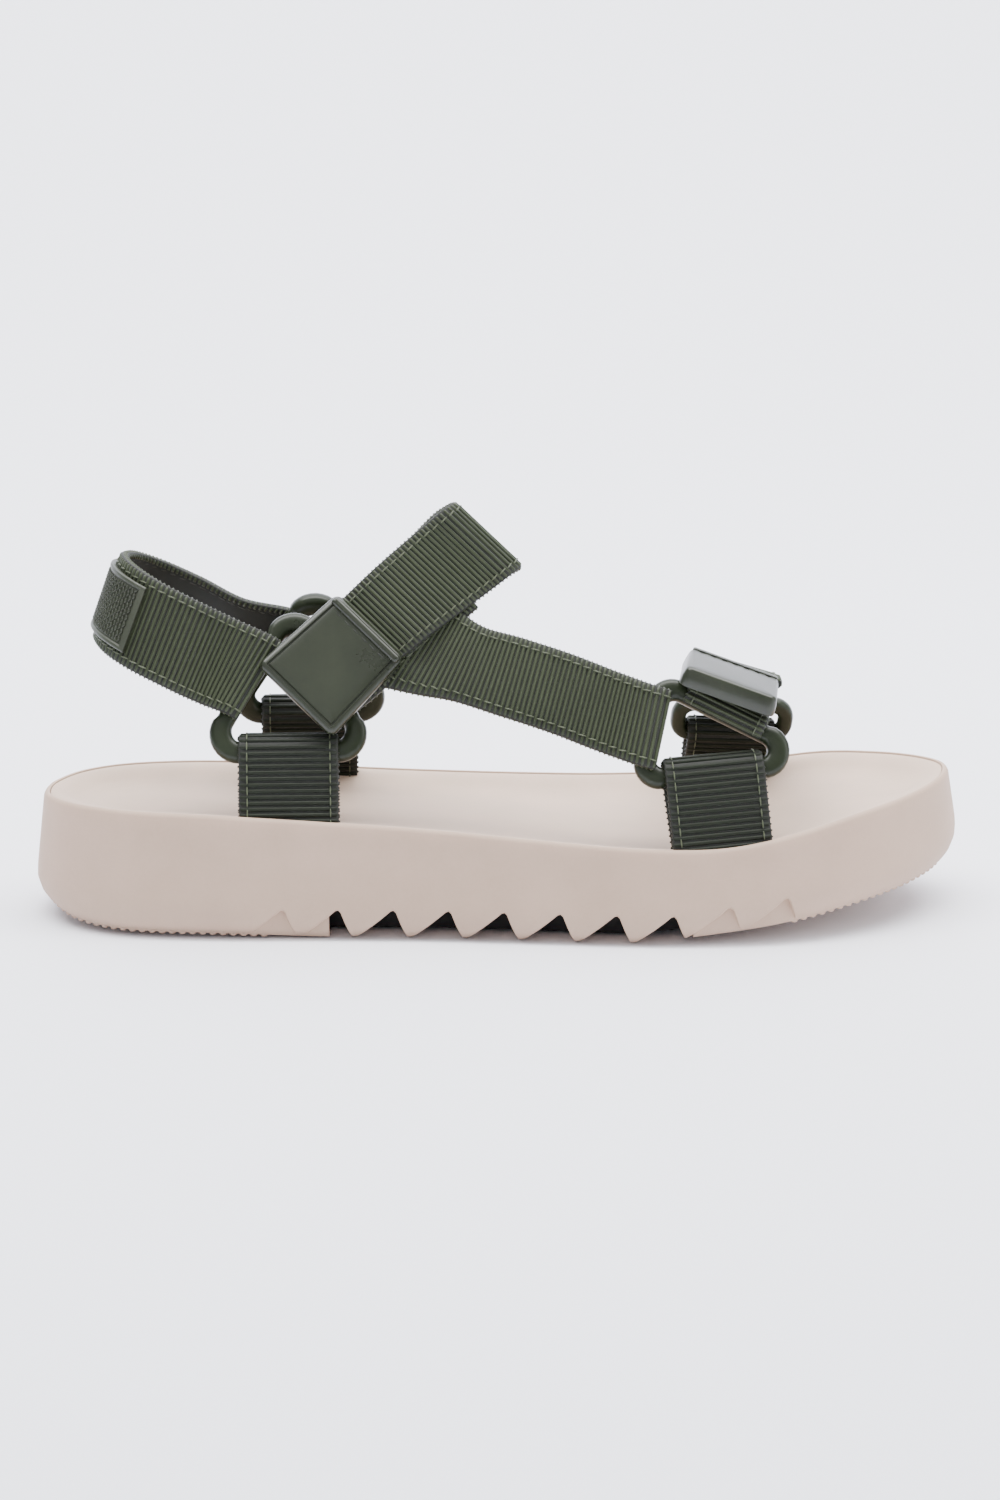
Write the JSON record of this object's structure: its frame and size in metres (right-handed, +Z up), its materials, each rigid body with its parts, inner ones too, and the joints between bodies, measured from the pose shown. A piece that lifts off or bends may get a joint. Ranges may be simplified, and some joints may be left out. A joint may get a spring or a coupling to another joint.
{
  "type": "strappy sport sandal",
  "caption": "Right-foot platform sandal with a toothed sole, ribbed straps looped through plastic rings, and hook-and-loop closures at ankle and toe.",
  "frame": {"origin": "centre of the sandal's footprint, on the ground plane under the teeth of the outsole", "axes": "+X to the toe, +Y to the medial side (the big-toe side of a right foot), +Z up"},
  "size_m": [0.2664, 0.1026, 0.1167],
  "materials": {
    "sole_foam": "matt, one pale pinkish beige all through",
    "footbed_foam": "matt, fine grain",
    "ribbed_strap": "soft moulded plastic with fine cross ribs and a serrated edge",
    "smooth_tab": "smooth satin moulded plastic",
    "ring_plastic": "smooth semi-gloss moulded plastic",
    "hook_and_loop": "napped hook-and-loop tape",
    "heel_badge": "knurled raised panel"
  },
  "bodies": {
    "sole": {"midsole": "sole_foam", "footbed": "footbed_foam", "outsole_heel_pad": "sole_foam", "outsole_toe_pad": "sole_foam", "lateral_ankle_anchor": "ribbed_strap", "medial_ankle_anchor": "ribbed_strap", "lateral_toe_anchor": "ribbed_strap", "medial_toe_anchor": "ribbed_strap", "anchor_pins": "ring_plastic"},
    "lateral_side": {"lateral_ankle_ring": "ring_plastic", "lateral_toe_ring": "ring_plastic", "heel_strap_lateral_end": "ribbed_strap", "ankle_base_strap": "ribbed_strap", "side_strap": "ribbed_strap", "ankle_loop_patch": "hook_and_loop"},
    "medial_ankle_side": {"medial_ankle_ring": "ring_plastic", "heel_strap_medial_end": "ribbed_strap", "ankle_closure_strap": "ribbed_strap"},
    "heel_band": {"heel_strap": "ribbed_strap", "heel_patch": "heel_badge"},
    "ankle_flap": {"ankle_flap_strap": "ribbed_strap", "ankle_tab": "smooth_tab", "ankle_hook_patch": "hook_and_loop"},
    "medial_toe_side": {"medial_toe_ring": "ring_plastic"},
    "toe_strap": {"toe_closure_strap": "ribbed_strap", "toe_tab": "smooth_tab", "toe_hook_patch": "hook_and_loop"},
    "toe_base": {"toe_base_strap": "ribbed_strap", "toe_loop_patch": "hook_and_loop"}
  },
  "joints": [
    {"name": "lateral_side_tilt", "type": "hinge", "parent": "sole", "child": "lateral_side", "pos_m": [-0.06045, -0.02308, 0.05049], "axis": [0.9942, -0.0999, -0.0389], "range_deg": [-8, 0], "stiffness_Nm_per_rad": 0.6},
    {"name": "medial_ankle_tilt", "type": "hinge", "parent": "sole", "child": "medial_ankle_side", "pos_m": [-0.05465, 0.02359, 0.05162], "axis": [1, 0, 0], "range_deg": [0, 3], "stiffness_Nm_per_rad": 0.6},
    {"name": "medial_toe_tilt", "type": "hinge", "parent": "sole", "child": "medial_toe_side", "pos_m": [0.07081, 0.03621, 0.04102], "axis": [0.9986, 0.0221, -0.0474], "range_deg": [-8, 0], "stiffness_Nm_per_rad": 0.6},
    {"name": "heel_strap_flex", "type": "hinge", "parent": "sole", "child": "heel_band", "pos_m": [-0.09, 0, 0.0813], "axis": [0, 1, 0], "range_deg": [-20, 12], "stiffness_Nm_per_rad": 0.4},
    {"name": "ankle_flap_open", "type": "hinge", "parent": "medial_ankle_side", "child": "ankle_flap", "pos_m": [-0.00354, 0.00042, 0.10769], "axis": [-0.722, 0, 0.6919], "range_deg": [0, 100], "stiffness_Nm_per_rad": 0.15},
    {"name": "toe_strap_open", "type": "hinge", "parent": "medial_toe_side", "child": "toe_strap", "pos_m": [0.07139, 0.03156, 0.05098], "axis": [-0.9986, -0.0221, 0.0474], "range_deg": [0, 100], "stiffness_Nm_per_rad": 0.15},
    {"name": "toe_base_fold", "type": "hinge", "parent": "lateral_side", "child": "toe_base", "pos_m": [0.06121, -0.02793, 0.06088], "axis": [0.8866, -0.1955, -0.4192], "range_deg": [-30, 0], "stiffness_Nm_per_rad": 0.1}
  ]
}
